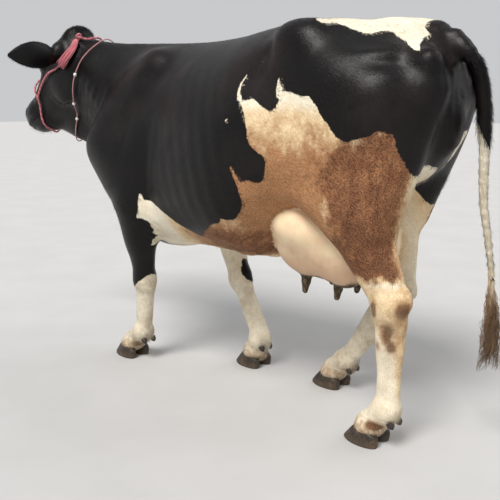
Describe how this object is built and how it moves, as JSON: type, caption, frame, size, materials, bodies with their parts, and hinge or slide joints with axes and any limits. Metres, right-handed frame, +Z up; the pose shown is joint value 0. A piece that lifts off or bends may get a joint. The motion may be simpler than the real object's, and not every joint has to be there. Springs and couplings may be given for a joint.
{
  "type": "walking dairy cow",
  "caption": "Life-size black and white dairy cow in mid walk, wearing a rope headstall and a beaded neck cord, standing still on its claws.",
  "frame": {"origin": "centre of the animal's bounding box at ground level, under the belly", "axes": "+Z up; the nose points along -Y and the animal's left side is +X; the spine runs along Y"},
  "size_m": [0.7712, 2.483, 1.4988],
  "materials": {
    "coat": "short flat hair in black and cream patches, stained brown on flank and thigh",
    "udder_skin": "cream, finely haired skin",
    "teat_skin": "bare grey-brown skin",
    "horn": "dull dark horn with growth rings",
    "eye": "wet dark eye",
    "halter_rope": "twisted pink and red rope",
    "neck_cord": "thin pale pink cord",
    "bead": "glossy off-white"
  },
  "bodies": {
    "root": {"trunk": "coat", "neck": "coat", "head": "coat", "fore_leg_left": "coat", "fore_leg_right": "coat", "hind_leg_left": "coat", "hind_leg_right": "coat", "ear_left": "coat", "ear_right": "coat", "tail_upper": "coat", "tail_middle": "coat", "tail_lower": "coat", "tail_switch": "coat", "udder": "udder_skin", "teat_fore_left": "teat_skin", "teat_fore_right": "teat_skin", "teat_hind_left": "teat_skin", "teat_hind_right": "teat_skin", "claw_fore_left_outer": "horn", "claw_fore_left_inner": "horn", "claw_fore_right_outer": "horn", "claw_fore_right_inner": "horn", "claw_hind_left_outer": "horn", "claw_hind_left_inner": "horn", "claw_hind_right_outer": "horn", "claw_hind_right_inner": "horn", "dewclaw_fore_left_outer": "horn", "dewclaw_fore_left_inner": "horn", "dewclaw_fore_right_outer": "horn", "dewclaw_fore_right_inner": "horn", "dewclaw_hind_left_outer": "horn", "dewclaw_hind_left_inner": "horn", "dewclaw_hind_right_outer": "horn", "dewclaw_hind_right_inner": "horn", "eye_left": "eye", "eye_right": "eye", "nose_loop": "halter_rope", "headstall": "halter_rope", "halter_knot": "halter_rope", "halter_tassel": "halter_rope", "neck_cord": "neck_cord", "neck_bead_1": "bead", "neck_bead_2": "bead", "neck_bead_3": "bead", "neck_bead_4": "bead", "neck_bead_5": "bead"}
  },
  "joints": []
}
